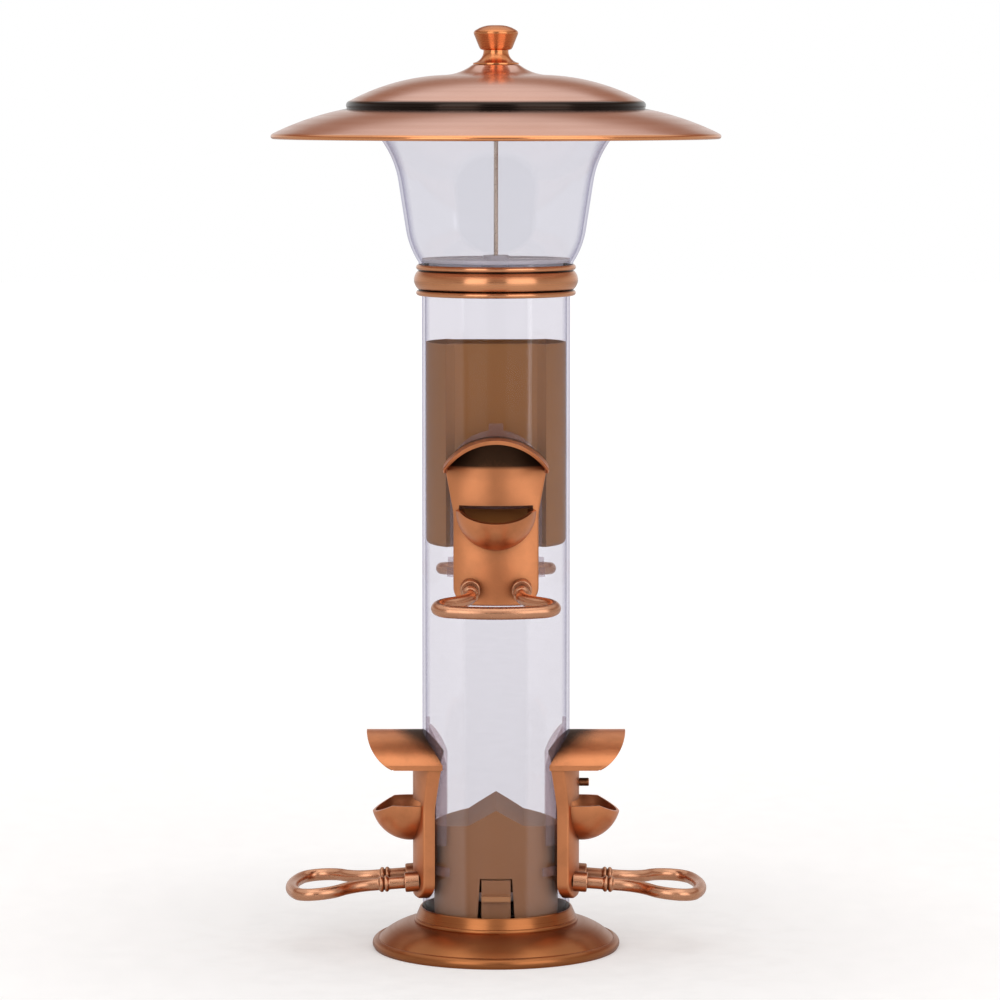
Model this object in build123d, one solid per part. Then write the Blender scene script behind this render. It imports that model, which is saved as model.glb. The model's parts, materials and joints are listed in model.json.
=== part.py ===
"""Tube bird feeder: a clear seed tube with four feeding ports, a flared hopper and a spun lid.

Millimetres, +Z up. The origin is the centre of the foot's underside, where the feeder stands.
The front of the feeder faces -Y. Two ports face front and back at the middle of the tube,
and two face left and right at its bottom. A port is modelled facing +X and then placed.
"""
from build123d import *
from math import acos, atan, cos, degrees, radians, sin, sqrt, tan
import os

os.makedirs("parts", exist_ok=True)

# ---- driving dimensions -------------------------------------------------------------------
RUNNING_GAP = 0.05        # radial clearance where one piece turns or slides on another
SEAT_GAP = 0.1            # clearance between pieces that are assembled against each other
LOOSE_GAP = 0.3           # clearance between curved pieces that lift apart

# seed tube
TUBE_D = 76.0
TUBE_WALL = 1.6
TUBE_LENGTH = 345.2
TUBE_SEAT_Z = 9.5         # the tube's lower end stands on the foot's floor

# foot
FOOT_D = 127.8
FOOT_RIM_H = 5.4          # height of the rounded rim band
FOOT_COLLAR_H = 21.4      # top of the collar around the tube
FOOT_COLLAR_LIP = 1.0     # collar's wall at its top
FOOT_COLLAR_SPREAD = 2.2  # how much wider the collar is at its bottom
FOOT_FLOOR = 2.4
POLE_SOCKET_D = 25.6      # takes a one-inch pole
POLE_SOCKET_DEPTH = 22.7
POLE_SOCKET_WALL = 3.2
FOOT_RIBS = 6

# lower seed deflector and its latch tongues
DEFLECTOR_GAP = 4.4       # room between deflector and tube for the ports' retainers
DEFLECTOR_WALL = 1.8
DEFLECTOR_RIDGE_Z = 76.1
DEFLECTOR_SLOPE = 30.5    # degrees, from the ridge down to the shoulders
SHOULDER_X = 14.3
SHOULDER_DROP = 2.6       # from the shoulder to the deflector's side
TONGUE_W = 14.9
TONGUE_TOP_Z = 40.0
SLOT_TOP_W = 0.8
SLOT_FOOT_W = 3.4
LATCH_Z = 31.0
LATCH_H = 2.5
DEFLECTOR_SCREW_D = 2.9
DEFLECTOR_BOSS_D = 7.8

# collar ring, hopper and lid
RING_THICK = 4.0          # how far the ring stands out from the tube
RING_H = 15.8
RING_GRIP = 5.8           # height that the ring grips the bare tube
HOPPER_FLARE = 26.0       # how much wider the mouth's radius is than the tube's
HOPPER_H = 68.5           # from the tube's top to the mouth
HOPPER_WALL = 1.5
NECK_LAP = 11.0           # the hopper's neck laps the tube by this much
LID_D = 230.0
LID_STEP_D = 151.0
LID_THICK = 1.0
LID_RIM_H = 3.0
LID_LOWER_RISE = 12.4     # from the rim's top to the foot of the step
LID_STEP_H = 4.0
LID_UPPER_RISE = 13.1     # from the step's top to the foot of the crown
LID_CROWN_RISE = 5.1
LID_RIM_BELOW_MOUTH = 5.6
PLUG_DEPTH = 2.0          # the locating ring's plug reaches this far into the hopper

# knob, cable and its fittings
KNOB_D = 22.6
KNOB_H = 19.8
KNOB_NECK_D = 13.0
KNOB_FOOT_D = 23.4
STUD_D = 5.0
CABLE_D = 2.3
FERRULE_D = 6.4
SPIDER_BAR_W = 9.0
SPIDER_PLATE = 1.8
SPIDER_WEB_H = 3.0
BOSS_D = 13.0
BOSS_H = 7.0

# mid-level baffle
SLEEVE_TOP_Z = 314.0
SLEEVE_H = 103.7
SLEEVE_WALL = 1.2
CHANNEL_HALF_W = 21.0     # half the width of the flat panel at the back of a seed channel
CHANNEL_MOUTH_HALF_W = 25.5
CHANNEL_DEPTH = 13.9      # from the sleeve's outside in to that panel
SLEEVE_GAP = 0.5          # clearance between sleeve and tube
SHELF_THICK = 1.6

# feeding ports, measured from the level of the lower pair
PORT_STEP_Z = 154.9       # the front and back pair sit this much higher
PORT_THICK = 4.9
PORT_FOOT_Z = 27.5
PORT_MARGIN = 1.3         # the plate's width on each side of the cup
PORT_CORNER_R = 9.0
HOOD_MARGIN = 4.9         # how much wider the hood is than the plate, on each side
HOOD_TOP_Z = 113.3
HOOD_EDGE_Z = 98.4
HOOD_LIP_H = 2.6
HOOD_THICK = 2.0
HOOD_REACH = 23.7         # from the plate's face to the hood's front edge
HOOD_SWEEP = 14.7         # the hood's front edge sweeps back by this much down to its lips
MOUTH_Z = 78.4            # the straight upper edge of the mouth
CUP_R = 20.3
CUP_FORWARD = 1.2         # from the plate's face out to the cup's centre
CUP_THICK = 1.6
CUP_RIM_Z = 76.3
CUP_LIP_DROP = 5.7        # the lip is this much lower than the rim
CUP_LIP_RUN = 11.5
TUBE_MOUTH_MARGIN = 3.3   # the tube's mouth is smaller than the cup by this much
RETAINER_THICK = 1.8
RETAINER_GAP = 2.1        # between the retainer and each side of the seed channel's mouth
RETAINER_MARGIN = 3.0
WING_HALF_W = 25.0
WING_H = 4.5
WING_Z = 43.0
LUG_W = 7.4
LUG_H = 3.3
PORT_SCREW_D = 2.9
PORT_SCREW_HEAD_D = 5.6
PORT_SCREW_HEAD_H = 1.5
PORT_SCREW_Z = (47.5, 99.0)

# perches
PERCH_D = 6.35
PERCH_Z = 36.1
PERCH_HALF_GAP = 13.0     # half the distance between the two arms
PERCH_SLOPE = 4.4         # degrees, down towards the tip
PERCH_HALF_W = 29.0
PERCH_SEAT = 3.2          # depth of the arms in the plate, at its middle
PERCH_STRAIGHT = 20.3     # from the plate's face: the straight arms end here
PERCH_WIDEST = 50.2       # the loop is widest here
PERCH_REACH = 63.0        # the centreline's tip
PERCH_TIP_R = 70.0
BEAD_D = 8.5
BEAD_PITCH = 2.6
BEAD_AT = 14.8
SOCKET_D = 10.3
SOCKET_LENGTH = 4.0       # how far a socket stands out from the plate's face
PEG_D = 4.2
PEG_LENGTH = 5.0
PEG_Z = 86.0
PEG_SLOT_W = 0.8          # a narrow upright slot beside the peg, towards the feeder's front
PEG_SLOT_H = 10.0
PEG_SLOT_OFFSET = 8.0
PEG_SLOT_DEPTH = 1.5

# ---- values worked out from them ----------------------------------------------------------
tube_r = TUBE_D / 2
bore_r = tube_r - TUBE_WALL
tube_top_z = TUBE_SEAT_Z + TUBE_LENGTH
deflector_r = bore_r - DEFLECTOR_GAP
deflector_screw_r = deflector_r - DEFLECTOR_WALL - DEFLECTOR_BOSS_D / 2 + 0.8  # the bosses join the wall
neck_outer_r = tube_r + SEAT_GAP + HOPPER_WALL
neck_foot_z = tube_top_z - NECK_LAP
ring_foot_z = neck_foot_z - SEAT_GAP - RING_GRIP
ring_top_z = ring_foot_z + RING_H
mouth_z = tube_top_z + HOPPER_H
mouth_r = tube_r + HOPPER_FLARE
lid_rim_z = mouth_z - LID_RIM_BELOW_MOUTH
lid_step_z = lid_rim_z + LID_RIM_H + LID_LOWER_RISE
lid_shoulder_z = lid_step_z + LID_STEP_H
lid_crown_z = lid_shoulder_z + LID_UPPER_RISE
lid_top_z = lid_crown_z + LID_CROWN_RISE
face_r = tube_r + SEAT_GAP + PORT_THICK
port_half_w = CUP_R + PORT_MARGIN
hood_half_w = port_half_w + HOOD_MARGIN
retainer_half_w = CHANNEL_MOUTH_HALF_W - RETAINER_GAP
tube_mouth_r = CUP_R - TUBE_MOUTH_MARGIN
spider_z = tube_top_z + SEAT_GAP
sleeve_foot_z = SLEEVE_TOP_Z - SLEEVE_H
sleeve_r = bore_r - SLEEVE_GAP
panel_y = sleeve_r - CHANNEL_DEPTH
retainer_r = bore_r - SEAT_GAP
panel_r = retainer_r - RETAINER_THICK

PORTS = {  # name: the direction that the port faces, in degrees, and its height above the lower pair
    "front": (-90, PORT_STEP_Z),
    "back": (90, PORT_STEP_Z),
    "left": (180, 0.0),
    "right": (0, 0.0),
}
FRONT_AND_BACK = {"front": -1, "back": 1}
SLOT_SIDES = {"left": 1, "right": -1}  # the side of the face that is nearer to the feeder's front


# ---- helpers ------------------------------------------------------------------------------
def save(node, shape):
    """Write one node; a group of separate solids becomes one compound."""
    if isinstance(shape, (list, tuple)):
        shape = Compound(children=list(shape))
    export_step(shape, f"parts/{node}.step")


def turned(start, *steps):
    """A solid of revolution about Z. A step is the next (r, z), or (through, next) for an arc."""
    edges, here = [], start
    for step in (*steps, start):
        if isinstance(step[0], tuple):
            through, there = step
            edges.append(ThreePointArc(here, through, there))
        else:
            there = step
            edges.append(Line(here, there))
        here = there
    return revolve(Plane.XZ * make_face(edges), Axis.Z)


def pipe(outer_r, inner_r, low_z, high_z):
    """A plain ring about the Z axis, with its seam between the ports, away from their holes."""
    ring = turned((inner_r, low_z), (outer_r, low_z), (outer_r, high_z), (inner_r, high_z))
    return Rot(0, 0, 45) * ring


def rod(r, start, direction, length):
    """A cylinder from a point, along a direction."""
    return extrude(Plane(origin=start, z_dir=direction) * Circle(r), length)


def block(x, y, z):
    """A box between two X, two Y and two Z values."""
    low, high = zip(x, y, z)
    size = [b - a for a, b in zip(low, high)]
    return Pos(*low) * Box(*size, align=(Align.MIN, Align.MIN, Align.MIN))


def slab(outline, x_range):
    """A (u, z) sketch, facing +X, made solid between two X values."""
    plane = Plane(origin=(x_range[0], 0, 0), x_dir=(0, 1, 0), z_dir=(1, 0, 0))
    return extrude(plane * outline, x_range[1] - x_range[0])


def at_port(name, shape):
    """Place a shape that was modelled on a lower port facing +X."""
    angle, lift = PORTS[name]
    return Rot(0, 0, angle) * Pos(0, 0, lift) * shape


# ---- foot ---------------------------------------------------------------------------------
def base_foot():
    rim_r = FOOT_D / 2
    collar_r = tube_r + LOOSE_GAP + FOOT_COLLAR_LIP
    collar_foot_r = collar_r + FOOT_COLLAR_SPREAD
    bead_z = FOOT_COLLAR_H - 6.3
    under_z = TUBE_SEAT_Z - FOOT_FLOOR
    socket_r = POLE_SOCKET_D / 2
    socket_top_z = POLE_SOCKET_DEPTH + 0.8
    boss_r = socket_r + POLE_SOCKET_WALL
    flare_mid = ((rim_r + collar_foot_r) / 2, (FOOT_RIM_H + bead_z) / 2 + 0.5)
    foot = turned(
        (rim_r - 0.8, 0),
        (rim_r, 1.4),
        ((rim_r - 0.5, FOOT_RIM_H - 1.2), (rim_r - 2.4, FOOT_RIM_H)),
        (rim_r - 3.0, FOOT_RIM_H - 0.4),
        (flare_mid, (collar_foot_r + 0.7, bead_z - 1.2)),
        ((collar_foot_r + 0.9, bead_z), (collar_foot_r, bead_z + 0.9)),
        (collar_r + 0.1, FOOT_COLLAR_H - 0.5),
        (collar_r - 0.4, FOOT_COLLAR_H),
        (tube_r + LOOSE_GAP, FOOT_COLLAR_H),
        (tube_r + LOOSE_GAP, TUBE_SEAT_Z),
        (boss_r, TUBE_SEAT_Z),
        (boss_r, socket_top_z + FOOT_FLOOR),
        (0, socket_top_z + FOOT_FLOOR),
        (0, socket_top_z),
        (socket_r, socket_top_z),
        (socket_r, socket_top_z - POLE_SOCKET_DEPTH),
        (boss_r, socket_top_z - POLE_SOCKET_DEPTH),
        (boss_r, under_z),
        (collar_r - 3.0, under_z),
        (collar_foot_r + 1.6, bead_z - 4.0),
        (rim_r - 4.6, 2.2),
        (rim_r - 4.6, 0),
    )
    for k in range(FOOT_RIBS):
        rib = block((boss_r - 0.5, collar_r), (-1, 1), (1.2, under_z + 0.5))
        foot += Rot(0, 0, 360 / FOOT_RIBS * k) * rib
    for x, y in foot_screw_places():
        foot -= rod(DEFLECTOR_SCREW_D / 2 + SEAT_GAP, (x, y, 0), (0, 0, 1), TUBE_SEAT_Z + 1)
    return foot


def foot_screw_places():
    """The four screws that hold the deflector to the foot, midway between its sides."""
    reach = deflector_screw_r / sqrt(2)
    return [(x * reach, y * reach) for x in (-1, 1) for y in (-1, 1)]


def foot_screws():
    head_z = TUBE_SEAT_Z - FOOT_FLOOR - SEAT_GAP
    screws = []
    for x, y in foot_screw_places():
        shank = rod(DEFLECTOR_SCREW_D / 2, (x, y, head_z), (0, 0, 1), 13)
        head = rod(DEFLECTOR_SCREW_D, (x, y, head_z), (0, 0, -1), 1.8)
        cross = rod(1.0, (x, y, head_z - 1.8), (0, 0, 1), 1.2)
        screws.append(shank + head - cross)
    return screws


# ---- lower deflector and latch tongues ----------------------------------------------------
def gable(drop):
    """Everything under the deflector's roof, lowered by a drop measured straight down."""
    shoulder_z = DEFLECTOR_RIDGE_Z - SHOULDER_X * tan(radians(DEFLECTOR_SLOPE))
    side_z = shoulder_z - SHOULDER_DROP
    far = deflector_r + 5
    outline = Polyline(
        (-far, 0), (far, 0), (far, side_z - drop), (deflector_r, side_z - drop),
        (SHOULDER_X, shoulder_z - drop), (0, DEFLECTOR_RIDGE_Z - drop),
        (-SHOULDER_X, shoulder_z - drop), (-deflector_r, side_z - drop), (-far, side_z - drop),
        close=True,
    )
    return extrude(Plane.XZ * make_face(outline), far, both=True)


def bottom_deflector():
    foot_z = TUBE_SEAT_Z + RUNNING_GAP
    roof_drop = DEFLECTOR_WALL / cos(radians(DEFLECTOR_SLOPE))
    inner_r = deflector_r - DEFLECTOR_WALL
    shell = rod(deflector_r, (0, 0, foot_z), (0, 0, 1), DEFLECTOR_RIDGE_Z) & gable(0)
    shell -= rod(inner_r, (0, 0, 0), (0, 0, 1), DEFLECTOR_RIDGE_Z) & gable(roof_drop)
    for x, y in foot_screw_places():
        boss = rod(DEFLECTOR_BOSS_D / 2, (x, y, foot_z), (0, 0, 1), 14)
        shell += boss - rod(DEFLECTOR_SCREW_D / 2 + RUNNING_GAP, (x, y, foot_z), (0, 0, 1), 12)
    top_half = TONGUE_W / 2 + SLOT_TOP_W
    foot_half = TONGUE_W / 2 + SLOT_FOOT_W
    window_top = TONGUE_TOP_Z + 0.6
    outline = Polyline(
        (-foot_half, 0), (foot_half, 0), (top_half, window_top), (-top_half, window_top), close=True
    )
    for side in FRONT_AND_BACK.values():
        window = extrude(Plane.XZ * make_face(outline), -side * (deflector_r + 5))
        shell -= window
    return shell


def latch_tongue(side):
    """One springy tongue of the deflector's wall, hinged at its top, with the ridge outside."""
    inner_r = deflector_r - DEFLECTOR_WALL
    half = TONGUE_W / 2
    tongue = pipe(deflector_r, inner_r, TUBE_SEAT_Z + 1.5, TONGUE_TOP_Z)
    ridge = pipe(bore_r - LOOSE_GAP, inner_r + 0.5, LATCH_Z - LATCH_H / 2, LATCH_Z + LATCH_H / 2)
    reach = sorted((0, side * (tube_r + 5)))
    return (tongue + ridge) & block((-half, half), reach, (0, DEFLECTOR_RIDGE_Z))


# ---- seed tube ----------------------------------------------------------------------------
def seed_tube():
    tube = pipe(tube_r, bore_r, TUBE_SEAT_Z, tube_top_z)
    half_disc = Circle(tube_mouth_r) & Pos(0, -tube_mouth_r) * Rectangle(99, 2 * tube_mouth_r)
    mouth = slab(Pos(0, CUP_RIM_Z) * half_disc, (bore_r / 2, tube_r + 2))
    for name in PORTS:
        tube -= at_port(name, mouth)
        for z in PORT_SCREW_Z:
            hole = rod(PORT_SCREW_D / 2 + SEAT_GAP, (bore_r / 2, 0, z), (1, 0, 0), tube_r)
            tube -= at_port(name, hole)
    slot_half = TONGUE_W / 2 + 0.5
    slot_z = (LATCH_Z - LATCH_H / 2 - 0.5, LATCH_Z + LATCH_H / 2 + 0.5)
    for side in FRONT_AND_BACK.values():
        tube -= block((-slot_half, slot_half), sorted((0, side * (tube_r + 5))), slot_z)
    return tube


# ---- collar ring, hopper and cable spider -------------------------------------------------
def collar_ring():
    """The ring that joins tube and hopper: a convex band between two narrow beads."""
    band_r = tube_r + RING_THICK
    bead_r = band_r - 1.2
    groove_r = band_r - 2.0
    bead_h = 3.0
    low, high = ring_foot_z, ring_top_z
    step_z = neck_foot_z - SEAT_GAP / 2
    return turned(
        (tube_r + RUNNING_GAP, low),
        (bead_r - 0.9, low),
        ((bead_r, low + bead_h / 2), (bead_r - 0.9, low + bead_h)),
        (groove_r, low + bead_h),
        ((band_r, (low + high) / 2), (groove_r, high - bead_h)),
        (bead_r - 0.9, high - bead_h),
        ((bead_r, high - bead_h / 2), (bead_r - 0.9, high)),
        (neck_outer_r + RUNNING_GAP, high),
        (neck_outer_r + RUNNING_GAP, step_z),
        (tube_r + RUNNING_GAP, step_z),
    )


def flared_hopper():
    """The clear bell: a neck over the tube's top, a round shoulder and a flared mouth."""
    shoulder = (mouth_r * 0.5 + neck_outer_r * 0.5 - 5.6, tube_top_z + HOPPER_H * 0.26)
    waist = (shoulder[0] + 3.6, tube_top_z + HOPPER_H * 0.6)

    def wall(inset):
        """The outline's curves, moved inwards by an inset."""
        flare_through = (waist[0] + 4.2 - inset * 0.9, tube_top_z + HOPPER_H * 0.8)
        return [
            ThreePointArc(
                (neck_outer_r - inset, tube_top_z),
                (shoulder[0] - 2.7 - inset * 0.9, tube_top_z + HOPPER_H * 0.11),
                (shoulder[0] - inset, shoulder[1]),
            ),
            Line((shoulder[0] - inset, shoulder[1]), (waist[0] - inset, waist[1])),
            ThreePointArc((waist[0] - inset, waist[1]), flare_through, (mouth_r - inset * 1.6, mouth_z)),
        ]

    outside, inside = wall(0), wall(HOPPER_WALL)
    neck_inner_r = neck_outer_r - HOPPER_WALL
    outline = [
        Line((neck_inner_r, neck_foot_z), (neck_outer_r, neck_foot_z)),
        Line((neck_outer_r, neck_foot_z), (neck_outer_r, tube_top_z)),
        *outside,
        Line((mouth_r, mouth_z), (mouth_r - HOPPER_WALL * 1.6, mouth_z)),
        *inside,
        Line((neck_inner_r, tube_top_z), (neck_inner_r, neck_foot_z)),
    ]
    return revolve(Plane.XZ * make_face(outline), Axis.Z)


def cable_spider():
    """A ring on the tube's top end, with one bar across it and a boss for the cable."""
    rim_r = tube_r - SEAT_GAP
    spider = pipe(rim_r, bore_r - 3.0, spider_z, spider_z + SPIDER_PLATE)
    bar_half = SPIDER_BAR_W / 2
    bar = block((-bore_r + 1, bore_r - 1), (-bar_half, bar_half), (spider_z, spider_z + SPIDER_PLATE))
    web = block((-bore_r + 2, bore_r - 2), (-1, 1), (spider_z - SPIDER_WEB_H, spider_z))
    boss = rod(BOSS_D / 2, (0, 0, spider_z - BOSS_H / 2), (0, 0, 1), BOSS_H)
    hole = rod(CABLE_D / 2 + SEAT_GAP, (0, 0, spider_z - BOSS_H), (0, 0, 1), 2 * BOSS_H)
    return spider + bar + web + boss - hole


# ---- cable and its fittings ---------------------------------------------------------------
cable_foot_z = spider_z - BOSS_H / 2 - SEAT_GAP
stud_foot_z = lid_top_z - LID_THICK - 21.0
stud_top_z = lid_top_z + 12.0


def cable_stop():
    """The barrel swaged on the cable's lower end, which bears on the spider's boss."""
    stop = rod(FERRULE_D / 2, (0, 0, cable_foot_z), (0, 0, -1), 6)
    return fillet(stop.edges().filter_by(GeomType.CIRCLE), 0.6)


def hanger_cable():
    return rod(CABLE_D / 2, (0, 0, cable_foot_z), (0, 0, 1), stud_foot_z - cable_foot_z)


def cable_stud():
    """A swaged barrel that goes over into the threaded stud under the knob."""
    barrel = rod(FERRULE_D / 2, (0, 0, stud_foot_z), (0, 0, 1), 12)
    barrel = fillet(barrel.edges().filter_by(GeomType.CIRCLE), 0.6)
    return barrel + rod(STUD_D / 2, (0, 0, stud_foot_z + 6), (0, 0, 1), stud_top_z - stud_foot_z - 6)


# ---- lid and knob -------------------------------------------------------------------------
def lid_curve(inset):
    """The lid's section from its rim to its centre hole, moved inwards by an inset."""
    rim_r, step_r = LID_D / 2 - inset, LID_STEP_D / 2 - inset
    crown_r, land_r = 25.5, KNOB_FOOT_D / 2 + 0.4
    rim_top = lid_rim_z + LID_RIM_H - inset
    hole_r = STUD_D / 2 + 0.6
    lower_mid = ((rim_r + step_r) / 2, (rim_top + lid_step_z - inset) / 2 + 1.2)
    upper_mid = ((step_r + crown_r) / 2 + 4, (lid_shoulder_z + lid_crown_z) / 2 - inset + 1.8)
    crown_mid = ((crown_r + land_r) / 2 - 1.6, (lid_crown_z + lid_top_z) / 2 - 0.5 - inset)
    return [
        Line((rim_r, lid_rim_z), (rim_r, rim_top - 0.8)),
        Line((rim_r, rim_top - 0.8), (rim_r - 0.8, rim_top)),
        ThreePointArc((rim_r - 0.8, rim_top), lower_mid, (step_r, lid_step_z - inset)),
        ThreePointArc(
            (step_r, lid_step_z - inset),
            (step_r + 0.5, lid_step_z + LID_STEP_H * 0.5 - inset),
            (step_r - 0.9, lid_shoulder_z - inset),
        ),
        ThreePointArc((step_r - 0.9, lid_shoulder_z - inset), upper_mid, (crown_r, lid_crown_z - inset)),
        ThreePointArc((crown_r, lid_crown_z - inset), crown_mid, (land_r, lid_top_z - inset)),
        Line((land_r, lid_top_z - inset), (hole_r, lid_top_z - inset)),
    ]


def lid_shell():
    outside, inside = lid_curve(0), lid_curve(LID_THICK)
    hole_r = STUD_D / 2 + 0.6
    ends = [
        Line((LID_D / 2, lid_rim_z), (LID_D / 2 - LID_THICK, lid_rim_z)),
        Line((hole_r, lid_top_z), (hole_r, lid_top_z - LID_THICK)),
    ]
    return revolve(Plane.XZ * make_face([*outside, *inside, *ends]), Axis.Z)


def lid_locating_ring():
    """The ring under the lid: a ledge on the hopper's lip, a plug inside it, and feet to the lid."""
    plug_r = mouth_r - HOPPER_WALL * 1.6 - LOOSE_GAP - 1.6 * PLUG_DEPTH
    seat_z = mouth_z + SEAT_GAP
    ring = turned(
        (plug_r - 1.8, mouth_z - PLUG_DEPTH),
        (plug_r, mouth_z - PLUG_DEPTH),
        (plug_r, seat_z),
        (mouth_r, seat_z),
        (mouth_r, seat_z + 1.8),
        (plug_r - 1.8, seat_z + 1.8),
    )
    posts = pipe(plug_r, plug_r - 1.8, seat_z + 1.0, lid_top_z)
    under_lid = lid_underside()
    return ring + (posts & under_lid)


def lid_underside():
    """The space under the lid's inner face, a seat gap clear of it."""
    inside = lid_curve(LID_THICK + SEAT_GAP)
    hole_r = STUD_D / 2 + 0.6
    rim_r = LID_D / 2 - LID_THICK - SEAT_GAP
    top_z = lid_top_z - LID_THICK - SEAT_GAP
    close = Polyline((hole_r, top_z), (0, top_z), (0, lid_rim_z), (rim_r, lid_rim_z))
    return revolve(Plane.XZ * make_face([*inside, *close.edges()]), Axis.Z)


def lid_knob():
    """A turned knob with a cupped head; its blind bore runs on the stud."""
    low = lid_top_z + SEAT_GAP
    foot_r, neck_r, head_r = KNOB_FOOT_D / 2, KNOB_NECK_D / 2, KNOB_D / 2
    under_r = head_r - 2.9
    bore = STUD_D / 2 + RUNNING_GAP
    bore_top = stud_top_z + 0.5
    knob = turned(
        (bore, low),
        (foot_r, low),
        (foot_r, low + 0.9),
        ((neck_r + 1.0, low + 3.6), (neck_r, low + 6.6)),
        (neck_r, low + 7.6),
        (under_r, low + 8.3),
        (under_r + 0.3, low + 9.3),
        (head_r - 0.2, low + KNOB_H * 0.76),
        ((head_r, low + KNOB_H * 0.82), (head_r - 1.0, low + KNOB_H * 0.88)),
        ((head_r * 0.55, low + KNOB_H * 0.975), (0, low + KNOB_H)),
        (0, bore_top),
        (bore, bore_top),
    )
    return knob - rod(0.7, (0, 0, low + KNOB_H - 1.0), (0, 0, 1), 2)


# ---- mid-level baffle ---------------------------------------------------------------------
def sleeve_outline(inset):
    """The sleeve's plan: a circle with a seed channel let in at the front and the back."""
    circle = Circle(sleeve_r - inset)
    depth = panel_y - inset
    panel, mouth = CHANNEL_HALF_W + inset, CHANNEL_MOUTH_HALF_W + inset
    mouth_y = sqrt(sleeve_r**2 - CHANNEL_MOUTH_HALF_W**2)
    slope = (CHANNEL_MOUTH_HALF_W - CHANNEL_HALF_W) / (mouth_y - panel_y)
    far = bore_r + 2
    spread = mouth + slope * (far - mouth_y)
    for side in FRONT_AND_BACK.values():
        channel = Polyline(
            (-panel, side * depth), (panel, side * depth), (spread, side * far), (-spread, side * far),
            close=True,
        )
        circle -= make_face(channel)
    return circle


def mid_baffle_sleeve():
    """The sleeve leads seed past the middle ports, and its two channels feed them."""
    outer = Pos(0, 0, sleeve_foot_z) * extrude(sleeve_outline(0), SLEEVE_H)
    outer = fillet(outer.faces().sort_by(Axis.Z)[0].edges(), 2.6)
    inner = Pos(0, 0, sleeve_foot_z + SLEEVE_WALL) * extrude(sleeve_outline(SLEEVE_WALL), SLEEVE_H)
    outlet = Pos(0, 0, sleeve_foot_z - 1) * extrude(sleeve_outline(SLEEVE_WALL + 3.0), 5)
    return outer - inner - outlet


def mid_baffle_shelves():
    """A sloping shelf across each seed channel, which tips the seed out at the port's mouth."""
    high_z = CUP_RIM_Z + PORT_STEP_Z - 1.0
    low_z = CUP_RIM_Z + PORT_STEP_Z - tube_mouth_r + 1.0
    near, far = panel_y + SEAT_GAP, panel_r - SEAT_GAP
    section = make_face(Polyline(
        (near, high_z), (far, low_z), (far, low_z - SHELF_THICK), (near, high_z - 5), close=True
    ))
    shelf = extrude(Plane.XZ * section, CHANNEL_HALF_W - SEAT_GAP, both=True)
    shelf &= rod(far, (0, 0, 0), (0, 0, 1), SLEEVE_TOP_Z)
    return [Rot(0, 0, PORTS[name][0]) * shelf for name in FRONT_AND_BACK]


# ---- feeding ports ------------------------------------------------------------------------
def hood_arch(inset):
    """The hood's end view: a round top over two upright lips, moved inwards by an inset."""
    half, top, edge = hood_half_w - inset, HOOD_TOP_Z - inset, HOOD_EDGE_Z
    foot = HOOD_EDGE_Z - HOOD_LIP_H
    return make_face([
        Line((-half, foot), (half, foot)),
        Line((half, foot), (half, edge)),
        ThreePointArc((half, edge), (0, top), (-half, edge)),
        Line((-half, edge), (-half, foot)),
    ])


def flange_outline():
    """The port's face plate: as wide as the hood at its top, and rounded at its foot."""
    shoulder_z = HOOD_EDGE_Z - HOOD_LIP_H
    waist_z = MOUTH_Z - 4
    plate = make_face(Polyline(
        (-port_half_w, PORT_FOOT_Z), (port_half_w, PORT_FOOT_Z), (port_half_w, waist_z),
        (hood_half_w - 0.5, shoulder_z + 2), (-hood_half_w + 0.5, shoulder_z + 2),
        (-port_half_w, waist_z), close=True,
    ))
    foot_corners = plate.vertices().group_by(Axis.Y)[0]
    plate = fillet(foot_corners, PORT_CORNER_R)
    waist_corners = plate.vertices().group_by(Axis.Y)[-2]
    return fillet(waist_corners, 30) + hood_arch(0)


def port_body():
    """One casting: face plate, hood and cup, with the mouth between them."""
    near = bore_r / 2
    shell = pipe(face_r, tube_r + SEAT_GAP, 0, HOOD_TOP_Z + 5)
    plate = shell & slab(flange_outline(), (near, face_r + 1))
    rim = plate.edges().filter_by(is_outer_rim)
    plate = fillet(rim, 1.4)
    for cut in perch_seats() + port_screw_holes():
        plate -= cut
    edge_x = face_r + HOOD_REACH
    hood = slab(hood_arch(0), (near, edge_x)) - slab(hood_arch(HOOD_THICK), (near, edge_x + 1))
    hood = (hood & hood_side(edge_x)) - rod(tube_r + SEAT_GAP, (0, 0, 0), (0, 0, 1), HOOD_TOP_Z + 5)
    bowl_centre = (face_r + CUP_FORWARD, 0, CUP_RIM_Z)
    bowl = Pos(*bowl_centre) * (Sphere(CUP_R) - Sphere(CUP_R - CUP_THICK))
    bowl = bowl & block((tube_r - 5, face_r + CUP_R + 5), (-40, 40), (0, CUP_RIM_Z))
    bowl -= rod(tube_r + SEAT_GAP + 1, (0, 0, 0), (0, 0, 1), HOOD_TOP_Z)
    bowl -= cup_lip_cut()
    mouth = Pos(*bowl_centre) * Sphere(CUP_R - CUP_THICK) & block((0, 99), (-40, 40), (0, CUP_RIM_Z))
    slit = block((0, face_r + 1), (-CUP_R + CUP_THICK, CUP_R - CUP_THICK), (CUP_RIM_Z - 0.01, MOUTH_Z))
    return plate + hood + bowl - mouth - slit


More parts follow.
